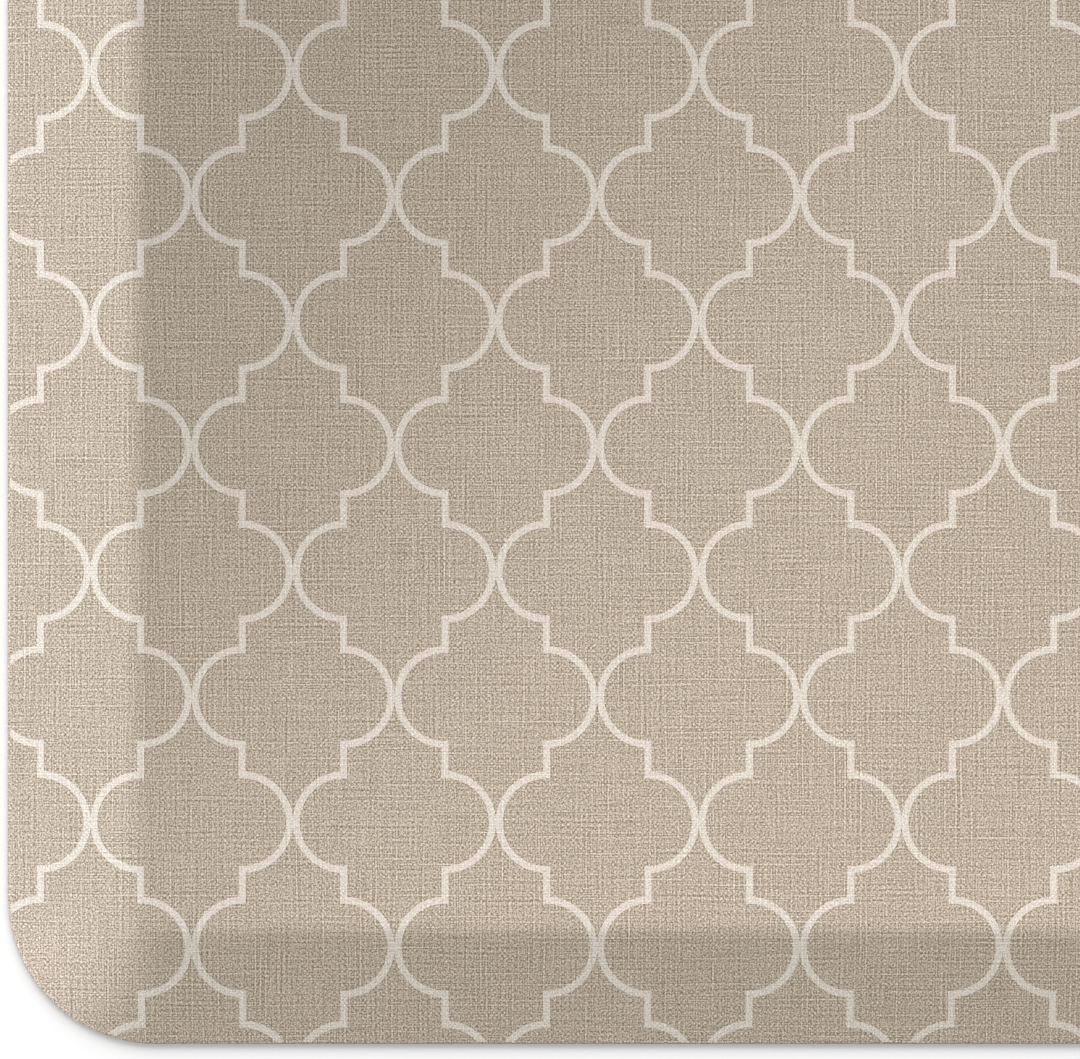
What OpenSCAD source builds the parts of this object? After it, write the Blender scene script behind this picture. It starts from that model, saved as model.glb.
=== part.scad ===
// Anti-fatigue mat: a bevelled foam laminate in a printed linen-look skin on a rubber base.
// The origin is the centre of the footprint at floor level. +X runs along the long side, +Y to the back edge.

/* [Mat] */
// Length of the long side
mat_w = 914; // [760:1:1000]
// Depth from front edge to back edge
mat_d = 610; // [450:1:700]
// Height of the flat top above the floor
mat_h = 19; // [17:0.5:25]
// Radius of the outer corners, seen from above
corner_r = 60; // [56:1:70]

/* [Bevel] */
// Width of the bevel along the left and right sides
bevel_side = 52; // [46:1:54]
// Width of the bevel along the front and back edges
bevel_front = 46; // [40:1:50]
// Height of the thin lip at the very edge
lip_h = 3; // [2.6:0.1:3.4]
// Share of the bevel over which its fold is rounded, each way from the fold
fold_share = 0.09; // [0.05:0.01:0.12]
// Radius of the folds' corner, seen from above
fold_r = 10; // [9:1:16]

/* [Lattice] */
// Width of one lattice cell
cell_w = 81.6; // [70:0.2:95]
// Depth of one lattice cell
cell_d = 100.8; // [96:0.2:120]
// Width of the printed line
line_w = 2.86; // [2:0.02:4]
// Distance from the left edge to the centre of a cell
cell_from_left = 115.4; // [90:0.2:140]
// Distance from the front edge to the centre of the same cell
cell_from_front = 341.8; // [320:0.2:360]
// How far from the edge the print stops
print_margin = 1; // [0:0.1:2]

/* [Layers] */
// Thickness of the printed ink
ink_t = 0.2; // [0.2:0.05:0.3]
// Thickness of the outer skin
cover_t = 1; // [0.8:0.1:1]
// Thickness of the knitted backing
backing_t = 0.4; // [0.3:0.1:0.6]
// Thickness of each adhesive film
film_t = 0.2; // [0.2:0.05:0.25]
// Height of the joint between the two foam cores
core_split = 10; // [8:0.5:11]
// Thickness of the base sheet at its rim
base_t = 1.6; // [1.5:0.1:1.6]

/* [Underside] */
// Width of the base sheet's flat rim
rim_w = 14; // [10:1:20]
// Depth of the recess that the dots stand in
recess_h = 0.8; // [0.6:0.1:0.9]
// Spacing of the grip dots
dot_pitch = 44; // [40:1:60]
// Radius of a grip dot at its root
dot_r = 4; // [3:0.5:5]

/* [Hidden] */
// Steps round each corner of the lofted layers
corner_steps = 12;
// Segments of a full circle on exact arcs
arc_fn = 96;
// How far a cutting shape runs past what it cuts
over = 0.5;
// Rise of the bevel from the lip to the top
rise = mat_h - lip_h;
// Height at which everything above the base sheet starts
bed_z = base_t + film_t;
// Depths below the finished surface at which each wrapped layer ends
cover_depth = ink_t + cover_t;
backing_depth = cover_depth + backing_t;
core_depth = backing_depth + film_t;
// Height of a layer's own edge where it meets the bed
toe_h = 0.3;
// Width of the strip that bonds the skin's lip to the base
strip_w = 10;
// Gap between the strip and the lower film
strip_gap = 0.5;
// Overlap of neighbouring lobes, which joins their lines into one
lobe_touch = 0.08;
lobe_r = cell_w / 4 - line_w / 2 + lobe_touch;

// Height of the finished surface at a share f of the bevel's width, with a parabola round the fold
function surface_z(f) =
    f <= 1 - fold_share ? lip_h + rise * f
    : f >= 1 + fold_share ? mat_h
    : mat_h - rise * pow(1 + fold_share - f, 2) / (4 * fold_share);

// Share of the bevel's width at which the straight bevel reaches height z
function share_at(z) = max(0, (z - lip_h) / rise);

// Share of the bevel's width at which a layer's underside meets the bed, never nearer the edge than its depth
function toe_share(depth) = max(depth / bevel_side, share_at(bed_z + depth + toe_h));

// Corner radius of the outline at a share f of the bevel's width
function radius_at(f) = corner_r + (fold_r - corner_r) * min(f, 1);

// The mat's outline at a share f of the bevel's width, at height z, anticlockwise from above
function ring(f, z) =
    let (r = radius_at(f), x = mat_w / 2 - f * bevel_side - r, y = mat_d / 2 - f * bevel_front - r)
    [for (q = [0 : 3], k = [0 : corner_steps])
        let (a = 90 * (q + k / corner_steps))
        [(q == 0 || q == 3 ? x : -x) + r * cos(a), (q < 2 ? y : -y) + r * sin(a), z]];

// Rings up the surface lowered by depth, from a share f0 of the bevel's width to the flat top
function climb(depth, f0) =
    concat([ring(f0, surface_z(f0) - depth)],
        [for (step = [-1 : 0.5 : 1])
            let (f = 1 + step * fold_share) ring(f, surface_z(f) - depth)]);

// The same list in the opposite order
function reversed(list) = [for (i = [len(list) - 1 : -1 : 0]) list[i]];

// Closed solid through a list of rings, capped across the first and the last
module loft(rings) {
    n = len(rings[0]);
    last = len(rings) - 1;
    walls = [for (i = [0 : last - 1], j = [0 : n - 1])
        let (k = (j + 1) % n) [i * n + j, (i + 1) * n + j, (i + 1) * n + k, i * n + k]];
    first_cap = [for (j = [0 : n - 1]) j];
    last_cap = [for (j = [n - 1 : -1 : 0]) last * n + j];
    polyhedron([for (r = rings) each r], concat([first_cap], walls, [last_cap]));
}

// Skin that follows the mat's surface between two depths and stands on the bed
module wrapped_layer(outer_depth, inner_depth, outer_f) {
    inner_f = toe_share(inner_depth);
    loft(concat(
        reversed(climb(inner_depth, inner_f)),
        [ring(inner_f, bed_z), ring(outer_f, bed_z)],
        climb(outer_depth, outer_f)));
}

// Rounded rectangle centred on the origin
module rounded_rect(w, d, r) {
    square([w - 2 * r, d], center = true);
    square([w, d - 2 * r], center = true);
    for (x = [-1, 1], y = [-1, 1])
        translate([x * (w / 2 - r), y * (d / 2 - r)]) circle(r, $fn = arc_fn);
}

// Inside of one lattice cell: a column with a round lobe on each side, less its neighbours' lobes
module cell_inside() {
    difference() {
        union() {
            square([cell_w / 2 - line_w, cell_d], center = true);
            for (x = [-1, 1])
                translate([x * cell_w / 4, 0]) circle(lobe_r - line_w / 2, $fn = arc_fn);
        }
        for (x = [-1, 1], y = [-1, 1])
            translate([x * cell_w / 4, y * cell_d / 2]) circle(lobe_r + line_w / 2, $fn = arc_fn);
    }
}

// Insides of all the cells that reach the mat, in two grids half a cell apart
module cell_insides() {
    columns = ceil(mat_w / cell_w) + 1;
    rows = ceil(mat_d / cell_d) + 1;
    for (half = [0, 0.5], i = [-columns : columns], j = [-rows : rows]) {
        x = cell_from_left - mat_w / 2 + (i + half) * cell_w;
        y = cell_from_front - mat_d / 2 + (j + half) * cell_d;
        if (abs(x) < (mat_w + cell_w) / 2 && abs(y) < (mat_d + cell_d) / 2)
            translate([x, y]) cell_inside();
    }
}

// Printed trellis lines on the top and the bevels
module lattice_print() {
    edge_f = print_margin / bevel_side;
    color([0.90, 0.86, 0.80])
        difference() {
            loft(concat(reversed(climb(ink_t, edge_f)), climb(0, edge_f)));
            linear_extrude(mat_h + over) cell_insides();
        }
}

// Outer skin with a linen look
module linen_cover() {
    color([0.69, 0.63, 0.56]) wrapped_layer(ink_t, cover_depth, 0);
}

// Knitted scrim under the skin
module cover_backing() {
    color([0.88, 0.87, 0.84]) wrapped_layer(cover_depth, backing_depth, toe_share(cover_depth));
}

// Adhesive between the backing and the cores
module upper_adhesive_film() {
    color([0.93, 0.90, 0.78]) wrapped_layer(backing_depth, core_depth, toe_share(backing_depth));
}

// Soft upper core
module comfort_foam() {
    color([0.55, 0.62, 0.66]) loft(climb(core_depth, share_at(core_split + film_t + core_depth)));
}

// Adhesive between the two cores
module core_adhesive_film() {
    low = core_split;
    high = core_split + film_t;
    color([0.93, 0.90, 0.78])
        loft([ring(share_at(low + core_depth), low), ring(share_at(high + core_depth), high)]);
}

// Firm lower core
module support_foam() {
    toe_f = toe_share(core_depth);
    split_f = share_at(core_split + core_depth);
    color([0.32, 0.33, 0.35])
        loft([ring(toe_f, bed_z), ring(toe_f, surface_z(toe_f) - core_depth), ring(split_f, core_split)]);
}

// Adhesive between the lower core and the base sheet
module lower_adhesive_film() {
    inset = 2 * (strip_w + strip_gap);
    color([0.93, 0.90, 0.78])
        translate([0, 0, base_t])
            linear_extrude(film_t)
                rounded_rect(mat_w - inset, mat_d - inset, corner_r - inset / 2);
}

// Strip round the edge that bonds the skin's lip to the base sheet
module edge_bond_strip() {
    color([0.60, 0.55, 0.49])
        translate([0, 0, base_t])
            linear_extrude(film_t)
                difference() {
                    rounded_rect(mat_w, mat_d, corner_r);
                    rounded_rect(mat_w - 2 * strip_w, mat_d - 2 * strip_w, corner_r - strip_w);
                }
}

// Rubber sheet with a flat rim and a shallow recess in its underside
module base_sheet() {
    color([0.20, 0.19, 0.18])
        difference() {
            linear_extrude(base_t) rounded_rect(mat_w, mat_d, corner_r);
            translate([0, 0, -over])
                linear_extrude(recess_h + over)
                    rounded_rect(mat_w - 2 * rim_w, mat_d - 2 * rim_w, corner_r - rim_w);
        }
}

// Soft dots in the recess, in staggered rows, with their tips level with the rim
module grip_dots() {
    columns = floor((mat_w / 2 - rim_w - 2 * dot_r) / dot_pitch);
    rows = floor((mat_d / 2 - rim_w - 2 * dot_r) / dot_pitch);
    color([0.26, 0.25, 0.24])
        for (i = [-columns : columns], j = [-rows : rows])
            if (abs(i) < columns || abs(j) < rows)
                translate([i * dot_pitch, j * dot_pitch, 0])
                    cylinder(r1 = 0.7 * dot_r, r2 = dot_r, h = recess_h, $fn = arc_fn);
}

lattice_print();
linen_cover();
cover_backing();
upper_adhesive_film();
comfort_foam();
core_adhesive_film();
support_foam();
lower_adhesive_film();
edge_bond_strip();
base_sheet();
grip_dots();
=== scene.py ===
# Looks of the anti-fatigue mat: linen skin, printed trellis, rubber underside and studio.

import math

import bpy
import numpy as np
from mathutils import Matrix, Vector
from mathutils.geometry import delaunay_2d_cdt


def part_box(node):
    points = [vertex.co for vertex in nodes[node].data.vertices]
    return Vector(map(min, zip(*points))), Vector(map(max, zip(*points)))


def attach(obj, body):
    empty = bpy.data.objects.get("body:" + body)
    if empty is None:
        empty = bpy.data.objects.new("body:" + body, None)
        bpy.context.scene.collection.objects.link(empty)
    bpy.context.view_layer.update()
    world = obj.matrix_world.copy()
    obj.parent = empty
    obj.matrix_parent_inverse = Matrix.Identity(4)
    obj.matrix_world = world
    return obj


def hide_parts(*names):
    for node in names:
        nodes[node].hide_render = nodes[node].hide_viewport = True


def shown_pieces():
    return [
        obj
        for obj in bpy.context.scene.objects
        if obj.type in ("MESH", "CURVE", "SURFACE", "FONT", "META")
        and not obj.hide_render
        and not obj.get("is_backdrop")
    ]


MM = 0.001

# ---- driving sizes of the looks, in metres; the rest comes from the parts in model.glb ----
BEVEL_SIDE = 52 * MM       # width of the left and right bevels
BEVEL_FRONT = 46 * MM      # width of the front and back bevels
LIP = 3 * MM               # height of the mat's edge
CORNER_R = 60 * MM         # outer corner, from above
FOLD_R = 10 * MM           # corner of the fold, from above
FOLD_SIDE = 9.4 * MM       # width over which the side folds are rounded
FOLD_FRONT = 6.5 * MM      # the same for the front and back folds
SKIN = 1 * MM              # thickness of the outer skin
PRINT = 0.05 * MM          # how far the printed lines stand proud
SOAK = 0.05 * MM           # how far they sink into the skin
CELL_W = 81.6 * MM         # trellis repeat, across
CELL_D = 100.8 * MM        # trellis repeat, front to back
LINE = 2.86 * MM           # width of the printed lines
CELL_FROM_LEFT = 115.4 * MM    # from the left edge to the centre of a cell
CELL_FROM_FRONT = 341.8 * MM   # from the front edge to the centre of the same cell
LOBE_TOUCH = 0.08 * MM     # overlap that joins neighbouring lobes
PRINT_MARGIN = 1 * MM      # how far from the edge the lines stop
WAVE = 0.10 * MM           # soft unevenness of the foam under the skin
LIP_ROUND = 0.45 * MM      # rounding of the lip's upper edge
TOE = 0.616 * MM           # height of the skin's inner edge above the bed
SAME_POINT = 1e-7          # points nearer than this are one

# ---- the linen: colours as 8-bit display values, the rest as shares of the cloth's brightness ----
THREAD = 1.06                    # pitch of the threads, in millimetres
GROUND = (188.2, 172.8, 154.6)   # the linen's middle colour
INK = (223, 211.3, 198)          # the printed lines' middle colour
PAIRS = 0.088                    # how much the two threads of a pair differ
RIDGES = 0.034                   # how much lighter each thread is along its crest
UNEVEN_RIDGES = 0.12             # the same, which comes and goes from place to place
RUNS = 0.24                      # short lighter and darker runs
STREAKS = 0.056                  # thin streaks along the thread
CHEQUER = 0.024                  # over against under, where the threads cross
UNEVEN_CHEQUER = 0.22            # the same, which comes and goes
GAPS = 0.57                      # how far the dark tones outrun the light ones
LIP_SHADE = 0.15                       # painted shade: how much darker the skin is over the lip's rounded edge and wall

QUARTER = math.pi / 2      # one corner's turn
WHITE = (1, 1, 1, 1)


# ---- the mat's surface ----

class Surface:
    """Height of the skin over any point of the floor."""

    def __init__(self, low, high):
        self.half_w, self.half_d, self.top = high.x, high.y, high.z
        self.rise = self.top - LIP
        # shares of the bevel's width between which the widest fold lies
        self.full_share = 1 + max(FOLD_SIDE / BEVEL_SIDE, FOLD_FRONT / BEVEL_FRONT) / 2
        self.fold_start = 1 - (self.full_share - 1)

    def radius(self, f):
        return CORNER_R + (FOLD_R - CORNER_R) * f

    def ring(self, f, angles):
        """Outline at a share f of the bevel's width, at these angles in each corner, anticlockwise."""
        r = self.radius(f)
        x = self.half_w - f * BEVEL_SIDE - r
        y = self.half_d - f * BEVEL_FRONT - r
        points = []
        for quarter, (sx, sy) in enumerate(((1, 1), (-1, 1), (-1, -1), (1, -1))):
            a = angles + quarter * QUARTER
            points.append(np.stack([sx * x + r * np.cos(a), sy * y + r * np.sin(a)], 1))
        return np.concatenate(points)

    def share(self, p):
        """Share of the bevel's width at each point, and how much each point faces front or back."""
        x, y = np.abs(p[:, 0]), np.abs(p[:, 1])
        side = (self.half_w - x) / BEVEL_SIDE
        front = (self.half_d - y) / BEVEL_FRONT
        f = np.minimum(side, front)
        facing = (front < side).astype(float)
        # in a corner, the share g solves |(x0 + kx g, y0 + ky g)| = CORNER_R + kr g
        kr = FOLD_R - CORNER_R
        kx, ky = BEVEL_SIDE + kr, BEVEL_FRONT + kr
        x0, y0 = x - self.half_w + CORNER_R, y - self.half_d + CORNER_R
        a = kx * kx + ky * ky - kr * kr
        b = 2 * (x0 * kx + y0 * ky - CORNER_R * kr)
        c = x0 * x0 + y0 * y0 - CORNER_R * CORNER_R
        root = np.sqrt(np.maximum(b * b - 4 * a * c, 0))
        g = (-b + root) / (2 * a)
        cx, cy = x0 + kx * g, y0 + ky * g
        corner = (cx > 0) & (cy > 0) & (g < self.full_share)
        turn = cy * cy / np.maximum(cx * cx + cy * cy, 1e-12)
        return np.where(corner, g, f), np.where(corner, turn, facing)

    def height(self, p, depth=0.0):
        """Height of the surface lowered by depth."""
        f, turn = self.share(p)
        blend = (1 - turn) * FOLD_SIDE / BEVEL_SIDE / 2 + turn * FOLD_FRONT / BEVEL_FRONT / 2
        curve = self.top - self.rise * (1 + blend - f) ** 2 / (4 * blend)
        z = np.where(f <= 1 - blend, LIP + self.rise * f, np.where(f >= 1 + blend, self.top, curve))
        return z - depth + self.waves(p) * np.clip((f - 1.2) / 1.5, 0, 1)

    def waves(self, p):
        """Slow unevenness, never above zero."""
        x, y = p[:, 0] / (97 * MM), p[:, 1] / (83 * MM)
        swell = np.sin(x + 1.7 * np.sin(0.6 * y)) * np.cos(1.1 * y + 0.8 * np.sin(0.7 * x))
        return WAVE * (swell - 1) / 2


# ---- mesh helpers ----

def new_object(name, vertices, faces, material, sharp=math.radians(32)):
    mesh = bpy.data.meshes.new(name)
    mesh.from_pydata([tuple(v) for v in vertices], [], [tuple(f) for f in faces])
    mesh.validate()
    mesh.shade_smooth()
    mesh.set_sharp_from_angle(angle=sharp)
    mesh.materials.append(material)
    obj = bpy.data.objects.new(name, mesh)
    bpy.context.scene.collection.objects.link(obj)
    return obj


def ring_walls(rings):
    """Quads between neighbouring rings, where each ring is a list of vertex numbers."""
    faces = []
    for low, high in zip(rings, rings[1:]):
        n = len(low)
        faces += [(low[j], low[(j + 1) % n], high[(j + 1) % n], high[j]) for j in range(n)]
    return faces


def loop_edges(first, count):
    return [(first + i, first + (i + 1) % count) for i in range(count)]


# ---- the skin ----

def cover_shares(surface):
    """Shares of the bevel's width at which the skin has a ring: close together where it curves."""
    edge = np.array([0, 0.35, 0.9, 1.6, 2.6]) * MM / BEVEL_SIDE
    slope = np.linspace(0.09, 0.85, 14)
    fold = np.linspace(0.87, surface.full_share + 0.01, 26)
    return np.concatenate([edge, slope, fold])


def make_cover(surface, bed_z, material):
    """Closed skin: bevels and folds as fine rings, the flat top as a fine grid, and a plain inside."""
    angles = np.linspace(0, QUARTER, 37)
    vertices, rings = [], []

    def add_ring(points, z):
        start = len(vertices)
        vertices.extend((x, y, h) for (x, y), h in zip(points, np.broadcast_to(z, len(points))))
        rings.append(list(range(start, start + len(points))))

    # inside, from its ceiling down to the bed
    ceiling = surface.top - SKIN - WAVE
    for f in (surface.full_share, 1.0, surface.fold_start):
        points = surface.ring(f, angles)
        add_ring(points, np.minimum(surface.height(points, SKIN), ceiling))
    toe_share = (bed_z + SKIN + TOE - LIP) / surface.rise
    points = surface.ring(toe_share, angles)
    add_ring(points, surface.height(points, SKIN))
    add_ring(points, bed_z)
    # outside, from the bed up over the lip, whose first two rings are lowered to round it
    points = surface.ring(0, angles)
    add_ring(points, bed_z)
    add_ring(points, LIP - LIP_ROUND)
    lip_drops = (0.55 * LIP_ROUND, 0.12 * LIP_ROUND)
    for i, f in enumerate(cover_shares(surface)):
        points = surface.ring(f, angles)
        drop = lip_drops[i] if i < len(lip_drops) else 0.0
        add_ring(points, surface.height(points) - drop)
    # the ceiling faces down, into the skin's hollow
    faces = [tuple(reversed(rings[0]))]
    faces += ring_walls(rings)
    # flat top: a grid of points inside the last ring
    border = np.array([vertices[i][:2] for i in rings[-1]])
    lo, hi = border.min(0), border.max(0)
    step = 9 * MM
    clear = 0.06    # share of the bevel's width kept free between the ring and the grid
    xs = np.arange(lo[0] + step, hi[0] - step / 2, step)
    ys = np.arange(lo[1] + step, hi[1] - step / 2, step)
    grid = np.stack(np.meshgrid(xs, ys), -1).reshape(-1, 2)
    f, _ = surface.share(grid)
    grid = grid[f > surface.full_share + clear]
    flat = [Vector(p) for p in border] + [Vector(p) for p in grid]
    result = delaunay_2d_cdt(flat, loop_edges(0, len(border)), [], 1, SAME_POINT)
    points = np.array([tuple(v) for v in result[0]])
    heights = surface.height(points)
    index = []
    for (x, y), z, sources in zip(points, heights, result[3]):
        if sources and sources[0] < len(border):
            index.append(rings[-1][sources[0]])
        else:
            index.append(len(vertices))
            vertices.append((x, y, z))
    faces += [tuple(index[i] for i in face) for face in result[2]]
    return new_object("linen_skin", vertices, faces, material)


# ---- the printed trellis ----

class Trellis:
    """The printed lines in plan: quatrefoil cells in two grids half a cell apart."""

    def __init__(self, surface):
        self.half = LINE / 2
        self.lobe = CELL_W / 4 - self.half + LOBE_TOUCH
        self.x0 = CELL_FROM_LEFT - surface.half_w
        self.y0 = CELL_FROM_FRONT - surface.half_d
        self.surface = surface

    def cells(self):
        """Centres of the cells that reach the mat."""
        s = self.surface
        centres = []
        columns = math.ceil(2 * s.half_w / CELL_W)
        rows = math.ceil(2 * s.half_d / CELL_D)
        for offset in (0, 0.5):
            for i in range(-columns, columns + 1):
                for j in range(-rows, rows + 1):
                    x = self.x0 + (i + offset) * CELL_W
                    y = self.y0 + (j + offset) * CELL_D
                    if abs(x) < s.half_w + CELL_W / 2 and abs(y) < s.half_d + CELL_D / 2:
                        centres.append((x, y))
        return centres

    def outline(self):
        """Outline of the inside of one cell, anticlockwise, centred on the cell."""
        arc_points = 26
        inner, outer = self.lobe - self.half, self.lobe + self.half
        # right lobe, from its widest point up to the column
        top = math.acos(-self.half / inner)
        right = [(CELL_W / 4 + inner * math.cos(a), inner * math.sin(a))
                 for a in np.linspace(0, top, arc_points)]
        # up the column's side, then round the neighbour's lobe to the tip
        side = math.acos(self.half / outer)
        tip = math.acos(min(1.0, CELL_W / 4 / outer))
        right += [(CELL_W / 4 - outer * math.cos(a), CELL_D / 2 - outer * math.sin(a))
                  for a in np.linspace(side, tip, arc_points)]
        left = [(-x, y) for x, y in reversed(right)][1:]
        upper = right + left
        lower = [(-x, -y) for x, y in upper][1:-1]
        return np.array(upper + lower)

    def on_line(self, p):
        """True where a point of the floor is under a printed line."""
        inner, outer = self.lobe - self.half, self.lobe + self.half
        inside = np.zeros(len(p), bool)
        for offset in (0, 0.5):
            x = (p[:, 0] - self.x0) / CELL_W - offset
            y = (p[:, 1] - self.y0) / CELL_D - offset
            x = np.abs((x - np.round(x)) * CELL_W)
            y = np.abs((y - np.round(y)) * CELL_D)
            lobe = (x - CELL_W / 4) ** 2 + y ** 2 < inner ** 2
            column = x < CELL_W / 4 - self.half
            neighbour = (x - CELL_W / 4) ** 2 + (y - CELL_D / 2) ** 2 < outer ** 2
            inside |= (lobe | column) & ~neighbour
        return ~inside


def make_trellis(surface, material):
    """The printed lines as one thin solid that follows the skin over its folds and bevels."""
    trellis = Trellis(surface)
    points, edges = [], []

    def add_loop(loop):
        edges.extend(loop_edges(len(points), len(loop)))
        points.extend(Vector(p) for p in loop)

    def add_line(a, b):
        edges.append((len(points), len(points) + 1))
        points.extend((Vector(a), Vector(b)))

    outline = trellis.outline()
    for centre in trellis.cells():
        add_loop(outline + np.array(centre))
    margin = PRINT_MARGIN / BEVEL_SIDE
    add_loop(surface.ring(margin, np.linspace(0, QUARTER, 61)))
    # lines along the folds and out to the corners, so that the film bends where the skin does
    for f in np.linspace(surface.fold_start, surface.full_share, 9):
        add_loop(surface.ring(f, np.linspace(0, QUARTER, 13)))
    spokes = np.linspace(0, QUARTER, 29)
    for f in (0.2, 0.4, 0.6, 0.8):
        add_loop(surface.ring(f, spokes))
    outer, inner = (surface.ring(f, spokes) for f in (margin, surface.full_share))
    for a, b in zip(outer, inner):
        add_line(a, b)
    flat, _, triangles, *_ = delaunay_2d_cdt(points, edges, [], 0, SAME_POINT)
    flat = np.array([tuple(v) for v in flat])
    triangles = np.array([t for t in triangles if len(t) == 3])
    middle = flat[triangles].mean(1)
    share, _ = surface.share(middle)
    kept = triangles[(share > margin) & trellis.on_line(middle)]
    used, kept = np.unique(kept, return_inverse=True)
    kept = kept.reshape(-1, 3)
    flat = flat[used]
    count = len(flat)
    z = surface.height(flat)
    top = np.column_stack([flat, z + PRINT])
    under = np.column_stack([flat, z - SOAK])
    # walls stand on the edges that only one triangle uses
    directed = np.concatenate([kept[:, [0, 1]], kept[:, [1, 2]], kept[:, [2, 0]]])
    present = set(map(tuple, directed))
    rim = [(a, b) for a, b in present if (b, a) not in present]
    faces = [tuple(t) for t in kept]
    faces += [(c + count, b + count, a + count) for a, b, c in kept]
    faces += [(b, a, a + count, b + count) for a, b in rim]
    return new_object("trellis_print", np.concatenate([top, under]), faces, material)


# ---- grip dots ----

def dot_boxes(obj):
    """Low and high corner of each separate dot of the CAD node, from its own vertices."""
    co = np.array([v.co for v in obj.data.vertices])
    parent = list(range(len(co)))

    def find(i):
        while parent[i] != i:
            parent[i] = parent[parent[i]]
            i = parent[i]
        return i

    places = {}
    for i, p in enumerate(co):
        key = tuple(np.round(p / (0.01 * MM)).astype(int))
        parent[find(i)] = find(places.setdefault(key, i))
    for e in obj.data.edges:
        parent[find(e.vertices[0])] = find(e.vertices[1])
    groups = {}
    for i in range(len(co)):
        groups.setdefault(find(i), []).append(i)
    return [(co[g].min(0), co[g].max(0)) for g in groups.values()]


def make_dots(node, material):
    """Low domed dots where the CAD dots are, each with a slight foot where it meets the sheet."""
    # shares of the radius and of the height, from the foot down to the tip
    profile = ((1.0, 0.0), (0.93, 0.10), (0.86, 0.30), (0.76, 0.62),
               (0.58, 0.86), (0.32, 0.97), (0.12, 1.0))
    segments = 24
    turns = np.arange(segments) * 2 * math.pi / segments
    vertices, faces = [], []
    for low, high in dot_boxes(node):
        x, y = (low[:2] + high[:2]) / 2
        radius = (high[0] - low[0]) / 2
        first = len(vertices)
        for share, drop in profile:
            z = high[2] + (low[2] - high[2]) * drop
            r = radius * share
            vertices += [(x + r * math.cos(a), y + r * math.sin(a), z) for a in turns]
        rings = [[first + i * segments + k for k in range(segments)] for i in range(len(profile))]
        faces.append(tuple(rings[0]))
        faces += [tuple(reversed(f)) for f in ring_walls(rings)]
        faces.append(tuple(reversed(rings[-1])))
    return new_object("domed_grip_dots", vertices, faces, material, math.radians(60))


# ---- materials ----

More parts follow.
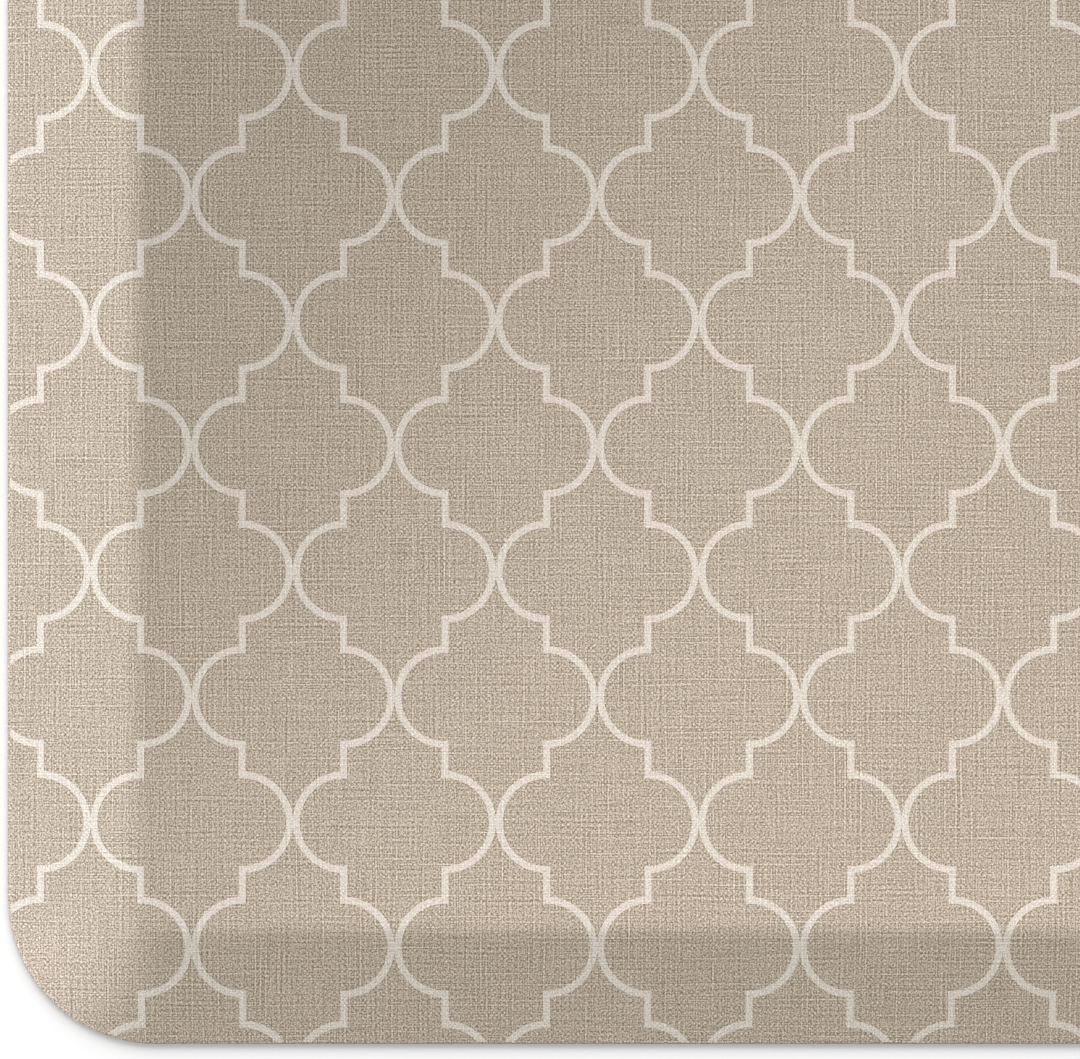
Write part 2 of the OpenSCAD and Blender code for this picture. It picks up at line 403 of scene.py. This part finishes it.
class Shader:
    """A material's node tree, with short calls for the nodes used here. Coordinates are millimetres."""

    def __init__(self, name):
        self.material = bpy.data.materials.new(name)
        self.material.use_nodes = True
        self.tree = self.material.node_tree
        self.tree.nodes.clear()
        output = self.tree.nodes.new("ShaderNodeOutputMaterial")
        self.bsdf = self.tree.nodes.new("ShaderNodeBsdfPrincipled")
        self.link(self.bsdf.outputs[0], output.inputs["Surface"])
        where = self.tree.nodes.new("ShaderNodeNewGeometry")
        scale = self.tree.nodes.new("ShaderNodeVectorMath")
        scale.operation = "SCALE"
        scale.inputs["Scale"].default_value = 1 / MM
        self.link(where.outputs["Position"], scale.inputs[0])
        self.place = scale.outputs[0]
        split = self.tree.nodes.new("ShaderNodeSeparateXYZ")
        self.link(self.place, split.inputs[0])
        self.x, self.y, self.z = split.outputs

    def link(self, a, b):
        self.tree.links.new(a, b)

    def feed(self, socket, value):
        if isinstance(value, bpy.types.NodeSocket):
            self.link(value, socket)
        else:
            socket.default_value = value

    def math(self, operation, a, b=0.0, c=0.0, clamp=False):
        node = self.tree.nodes.new("ShaderNodeMath")
        node.operation = operation
        node.use_clamp = clamp
        for socket, value in zip(node.inputs, (a, b, c)):
            self.feed(socket, value)
        return node.outputs[0]

    def add(self, a, b):
        return self.math("ADD", a, b)

    def mul(self, a, b):
        return self.math("MULTIPLY", a, b)

    def vector(self, x, y, z):
        node = self.tree.nodes.new("ShaderNodeCombineXYZ")
        for socket, value in zip(node.inputs, (x, y, z)):
            self.feed(socket, value)
        return node.outputs[0]

    def noise(self, vector, scale=1.0, detail=0.0, roughness=0.5):
        """Smooth noise, centred on zero, about -1 to 1."""
        node = self.tree.nodes.new("ShaderNodeTexNoise")
        node.inputs["Scale"].default_value = scale
        node.inputs["Detail"].default_value = detail
        node.inputs["Roughness"].default_value = roughness
        self.link(vector, node.inputs["Vector"])
        return self.math("MULTIPLY_ADD", node.outputs[0], 2.0, -1.0)

    def noise_flat(self, a, b):
        """Smooth noise over two coordinates, centred on zero, with one hump to each unit."""
        node = self.tree.nodes.new("ShaderNodeTexNoise")
        node.noise_dimensions = "2D"
        node.inputs["Scale"].default_value = 1.0
        node.inputs["Detail"].default_value = 0.0
        self.link(self.vector(a, b, 0.0), node.inputs["Vector"])
        return self.math("MULTIPLY_ADD", node.outputs[0], 2.0, -1.0)

    def scaled(self, value, size, shift):
        """A coordinate in units of a size, moved on by a shift."""
        return self.math("MULTIPLY_ADD", value, 1 / size, shift)

    def ramp(self, value, start, end):
        """0 at the start, 1 at the end, smooth between."""
        node = self.tree.nodes.new("ShaderNodeMapRange")
        node.interpolation_type = "SMOOTHSTEP"
        for name, number in (("From Min", start), ("From Max", end)):
            node.inputs[name].default_value = number
        self.link(value, node.inputs["Value"])
        return node.outputs["Result"]

    def mix(self, factor, a, b):
        node = self.tree.nodes.new("ShaderNodeMix")
        node.data_type = "RGBA"
        self.feed(node.inputs[0], factor)
        self.feed(node.inputs[6], a)
        self.feed(node.inputs[7], b)
        return node.outputs[2]

    def tint(self, colour, factor):
        """Colour multiplied by a value."""
        node = self.tree.nodes.new("ShaderNodeVectorMath")
        node.operation = "SCALE"
        self.feed(node.inputs[0], colour[:3] if isinstance(colour, tuple) else colour)
        self.feed(node.inputs["Scale"], factor)
        return node.outputs[0]

    def bump(self, height, distance, strength=1.0):
        node = self.tree.nodes.new("ShaderNodeBump")
        node.inputs["Distance"].default_value = distance
        node.inputs["Strength"].default_value = strength
        self.link(height, node.inputs["Height"])
        self.link(node.outputs[0], self.bsdf.inputs["Normal"])

    def finish(self, colour, roughness, specular=0.3, **inputs):
        self.feed(self.bsdf.inputs["Base Color"], colour)
        self.feed(self.bsdf.inputs["Roughness"], roughness)
        self.feed(self.bsdf.inputs["Specular IOR Level"], specular)
        for name, value in inputs.items():
            self.feed(self.bsdf.inputs[name.replace("_", " ")], value)
        return self.material


def linear(r, g, b):
    """Linear colour from 8-bit display values."""
    return tuple(((c / 255 + 0.055) / 1.055) ** 2.4 for c in (r, g, b)) + (1.0,)


def thread_place(s, along, across, seed):
    """Number of threads from the origin, across threads that wander a little along their length."""
    wander = s.noise(s.vector(s.mul(along, 1 / 25), s.mul(across, 1 / 9), seed))
    return s.add(s.mul(across, 1 / THREAD), s.mul(wander, 0.45))


def weave(s):
    """Plain weave of uneven threads: tone about -0.3 to 0.3, and height about -1 to 1."""
    # the lip's wall is upright, so the pattern runs down it with the height
    drop = s.math("MINIMUM", s.z, LIP / MM)
    x, y = s.add(s.x, drop), s.add(s.y, drop)
    tones, waves = [], []
    for along, across, seed in ((y, x, 11.3), (x, y, 47.9)):
        place = thread_place(s, along, across, seed)
        wave = s.math("COSINE", s.mul(place, math.pi))
        ridge = s.math("COSINE", s.mul(place, 2 * math.pi))
        # neighbouring threads differ, more in some places than in others; all sizes are millimetres
        near = s.noise_flat(s.scaled(across, 3, seed), s.scaled(along, 40, seed))
        far = s.noise_flat(s.scaled(across, 8, seed), s.scaled(along, 40, -seed))
        pairs = s.mul(wave, s.add(s.mul(near, PAIRS), s.mul(far, PAIRS)))
        ridges = s.mul(ridge, s.math("MULTIPLY_ADD", near, UNEVEN_RIDGES, RIDGES))
        run = s.noise_flat(s.scaled(across, 0.65, seed), s.scaled(along, 0.65, seed))
        streak = s.noise_flat(s.scaled(across, 0.45, -seed), s.scaled(along, 22, seed))
        tones += [pairs, ridges, s.mul(run, RUNS), s.mul(streak, STREAKS)]
        waves.append(wave)
    crossing = s.mul(*waves)
    patch = s.noise_flat(s.scaled(x, 4, 0), s.scaled(y, 4, 0))
    tone = s.mul(crossing, s.math("MULTIPLY_ADD", patch, UNEVEN_CHEQUER, CHEQUER))
    for part in tones:
        tone = s.add(tone, part)
    tone = s.mul(tone, s.math("MULTIPLY_ADD", tone, -GAPS, 1.0))
    return tone, s.add(s.mul(crossing, 0.5), s.mul(tone, 2.0))


def woven_colour(s, tone, ground, contrast=1.0):
    """Colour of the ground, darker and warmer in the gaps, lighter and cooler on the thick threads."""
    power, reach = 2.2, 0.3          # display gamma, and the tone at either end of the mix
    swing = (0.92, 0.99, 1.095)      # how strongly red, green and blue follow the tone
    low, high = (1 - reach) ** power, (1 + reach) ** power
    bright = s.math("POWER", s.math("MULTIPLY_ADD", tone, contrast, 1.0), power)
    level = s.math("MULTIPLY", s.math("SUBTRACT", bright, low), 1 / (high - low), clamp=True)
    ends = [linear(*(c * (1 + side * reach * k) for c, k in zip(ground, swing))) for side in (-1, 1)]
    return s.mix(level, *ends)


def linen_skin_material():
    s = Shader("linen skin")
    tone, relief = weave(s)
    cloud = s.noise(s.place, 1 / 60, 2.0)
    # painted shade: the skin is darker over the lip's rounded edge and down its wall
    rim = s.ramp(s.z, LIP / MM + 0.18, LIP / MM - 0.05)
    s.bump(relief, 0.03 * MM, 0.4)
    tone = s.math("SUBTRACT", s.add(tone, s.mul(cloud, 0.01)), s.mul(rim, LIP_SHADE))
    return s.finish(woven_colour(s, tone, GROUND, 1.09),
                    s.math("MULTIPLY_ADD", tone, -0.15, 0.8), 0.0,
                    Sheen_Weight=0.04, Sheen_Roughness=0.3)


def trellis_material():
    s = Shader("trellis ink")
    tone, relief = weave(s)
    s.bump(relief, 0.02 * MM, 0.4)
    return s.finish(woven_colour(s, tone, INK, 0.46), 0.75, 0.0)


def rubber_material(name, colour):
    s = Shader(name)
    grain = s.noise(s.place, 1.3, 3.0, 0.6)
    cloud = s.noise(s.place, 1 / 35, 3.0)
    level = s.add(1.0, s.add(s.mul(grain, 0.10), s.mul(cloud, 0.14)))
    s.bump(grain, 0.06 * MM, 0.6)
    return s.finish(s.tint(colour, level), s.math("MULTIPLY_ADD", cloud, 0.08, 0.72), 0.3)


def foam_material(name, colour, cell):
    s = Shader(name)
    node = s.tree.nodes.new("ShaderNodeTexVoronoi")
    node.inputs["Scale"].default_value = 1 / cell
    s.link(s.place, node.inputs["Vector"])
    depth = node.outputs["Distance"]
    s.bump(depth, 0.4 * MM, 0.8)
    # painted shade: the foam is darker towards the bottom of each pore, following the bump's height
    return s.finish(s.tint(colour, s.math("MULTIPLY_ADD", depth, 0.5, 0.7)), 0.95, 0.1)


def film_material(name, colour):
    s = Shader(name)
    streak = s.noise(s.vector(s.mul(s.x, 1 / 40), s.mul(s.y, 1 / 3), s.z), 1.0, 2.0)
    s.bump(streak, 0.05 * MM, 0.3)
    return s.finish(s.tint(colour, s.math("MULTIPLY_ADD", streak, 0.08, 0.95)), 0.35, 0.45)


def scrim_material():
    s = Shader("knitted scrim")
    wale = s.math("SINE", s.mul(s.x, 2 * math.pi / 1.6))
    course = s.math("SINE", s.add(s.mul(s.y, 2 * math.pi / 1.2), s.mul(s.math("ABSOLUTE", wale), 1.4)))
    loops = s.mul(s.math("ABSOLUTE", wale), s.math("MULTIPLY_ADD", course, 0.5, 0.5))
    s.bump(loops, 0.15 * MM, 0.8)
    # painted shade: the scrim is darker between the loops, where the bump is low
    return s.finish(s.tint(linear(226, 223, 215), s.math("MULTIPLY_ADD", loops, 0.25, 0.75)), 0.9, 0.1,
                    Sheen_Weight=0.2)


# ---- studio ----

def aim(obj, target):
    obj.rotation_mode = "QUATERNION"
    obj.rotation_quaternion = (Vector(target) - obj.location).to_track_quat("-Z", "Y")


def light(name, kind, place, target, energy, receivers, **settings):
    """A light the camera doesn't see, which lights only its receivers."""
    data = bpy.data.lights.new(name, kind)
    data.energy = energy
    for key, value in settings.items():
        setattr(data, key, value)
    obj = bpy.data.objects.new(name, data)
    bpy.context.scene.collection.objects.link(obj)
    obj.location = place
    aim(obj, target)
    obj.visible_camera = False
    obj.light_linking.receiver_collection = receivers


def polar(azimuth, elevation, distance):
    """Place seen from the origin: azimuth 0 is the left, and turns towards the front."""
    a, e = math.radians(azimuth), math.radians(elevation)
    return Vector((-math.cos(a) * math.cos(e), -math.sin(a) * math.cos(e), math.sin(e))) * distance


def make_floor():
    """A wide pale floor that glows a little, so that only the shadow beside the mat shows."""
    s = Shader("floor")
    material = s.finish((0.8, 0.8, 0.8, 1), 0.9, 0.1, Emission_Color=WHITE, Emission_Strength=0.17)
    half = 60
    corners = [(-half, -half, 0), (half, -half, 0), (half, half, 0), (-half, half, 0)]
    floor = new_object("floor", corners, [(0, 1, 2, 3)], material)
    floor.location.z = -0.05 * MM
    floor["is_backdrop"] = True
    return floor


def make_world():
    """White where the camera sees it, and a weaker fill for everything it lights."""
    fill, seen = 0.53, 1.0
    world = bpy.data.worlds.new("studio")
    world.use_nodes = True
    tree = world.node_tree
    tree.nodes.clear()
    output = tree.nodes.new("ShaderNodeOutputWorld")
    mix = tree.nodes.new("ShaderNodeMixShader")
    path = tree.nodes.new("ShaderNodeLightPath")
    tree.links.new(path.outputs["Is Camera Ray"], mix.inputs[0])
    for socket, strength in zip(mix.inputs[1:], (fill, seen)):
        background = tree.nodes.new("ShaderNodeBackground")
        background.inputs["Color"].default_value = WHITE
        background.inputs["Strength"].default_value = strength
        tree.links.new(background.outputs[0], socket)
    tree.links.new(mix.outputs[0], output.inputs["Surface"])
    bpy.context.scene.world = world


def make_camera(surface):
    """Looks straight down on the front left corner, with a little floor on the left and in front."""
    shown_w = 434.4 * MM
    left_margin, front_margin = 2.43 * MM, 5.4 * MM
    picture_w, picture_h = 1080, 1059
    shown_h = shown_w * picture_h / picture_w
    data = bpy.data.cameras.new("camera")
    data.lens = 400
    data.sensor_width = 36
    data.sensor_fit = "HORIZONTAL"
    camera = bpy.data.objects.new("camera", data)
    bpy.context.scene.collection.objects.link(camera)
    distance = shown_w / 2 * data.lens / (data.sensor_width / 2)
    camera.location = (-surface.half_w - left_margin + shown_w / 2,
                       -surface.half_d - front_margin + shown_h / 2, surface.top + distance)
    data.clip_end = distance * 3
    bpy.context.scene.camera = camera


def light_mat(surface, mat_parts):
    """A wide light from the left, and soft pools that light the top and the front left corner."""
    target = Vector((-0.2, 0, 0))
    light("key", "AREA", target + polar(2, 9, 4.0), target, 214, mat_parts,
          shape="DISK", size=1.1, color=(0.965, 1.01, 1.07))
    # three pools from the back right, which light the top but not the left and front bevels
    for azimuth, x, y, cone, energy in ((235, 0.10, -0.25, 9, 137),
                                        (235, -0.20, -0.10, 9, 202),
                                        (215, 0.10, -0.40, 24, 353)):
        target = Vector((x, y, 0))
        light("pool", "SPOT", target + polar(azimuth, 15, 2.5), target, energy, mat_parts,
              spot_size=math.radians(cone), spot_blend=1.0, shadow_soft_size=0.1)
    # a small pool from the front left, on the corner's bevel
    target = Vector((-surface.half_w + 0.019, -surface.half_d + 0.030, 0.004))
    light("corner pool", "SPOT", target + polar(30, 30, 0.6), target, 3.2, mat_parts,
          spot_size=math.radians(6), spot_blend=1.0, shadow_soft_size=0.005, color=(0.97, 0.98, 1.1))


# ---- build ----

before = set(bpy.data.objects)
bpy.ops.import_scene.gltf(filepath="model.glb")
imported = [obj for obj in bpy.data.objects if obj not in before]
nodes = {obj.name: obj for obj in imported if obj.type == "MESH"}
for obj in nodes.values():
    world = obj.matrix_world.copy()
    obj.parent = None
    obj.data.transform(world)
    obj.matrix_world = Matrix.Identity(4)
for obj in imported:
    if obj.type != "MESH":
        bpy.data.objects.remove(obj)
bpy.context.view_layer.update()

surface = Surface(*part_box("linen_cover"))
bed_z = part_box("linen_cover")[0].z

skin = make_cover(surface, bed_z, linen_skin_material())
print_lines = make_trellis(surface, trellis_material())
dots = make_dots(nodes["grip_dots"], rubber_material("dot rubber", linear(78, 75, 72)))

for piece, node, slot in ((skin, "linen_cover", "linen_skin"),
                          (print_lines, "lattice_print", "lattice_ink"),
                          (dots, "grip_dots", "dot_rubber")):
    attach(piece, "root")
    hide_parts(node)

adhesive = film_material("adhesive film", linear(238, 230, 199))
for name, material in {
    "cover_backing": scrim_material(),
    "upper_adhesive_film": adhesive,
    "comfort_foam": foam_material("soft foam", linear(140, 158, 168), 1.4),
    "core_adhesive_film": adhesive,
    "support_foam": foam_material("firm foam", linear(82, 84, 89), 0.8),
    "lower_adhesive_film": adhesive,
    "edge_bond_strip": rubber_material("bond strip", linear(153, 140, 125)),
    "base_sheet": rubber_material("base rubber", linear(58, 55, 52)),
}.items():
    mesh = nodes[name].data
    mesh.materials.clear()
    mesh.materials.append(material)

floor = make_floor()
make_world()
make_camera(surface)

mat_parts = bpy.data.collections.new("lit mat")
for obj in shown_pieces():
    mat_parts.objects.link(obj)
floor_only = bpy.data.collections.new("lit floor")
floor_only.objects.link(floor)

light_mat(surface, mat_parts)
light("floor light", "SUN", polar(-88, 36, 3.0), (0, 0, 0), 2.85, floor_only,
      angle=math.radians(64))

bpy.context.scene.view_settings.view_transform = "Standard"
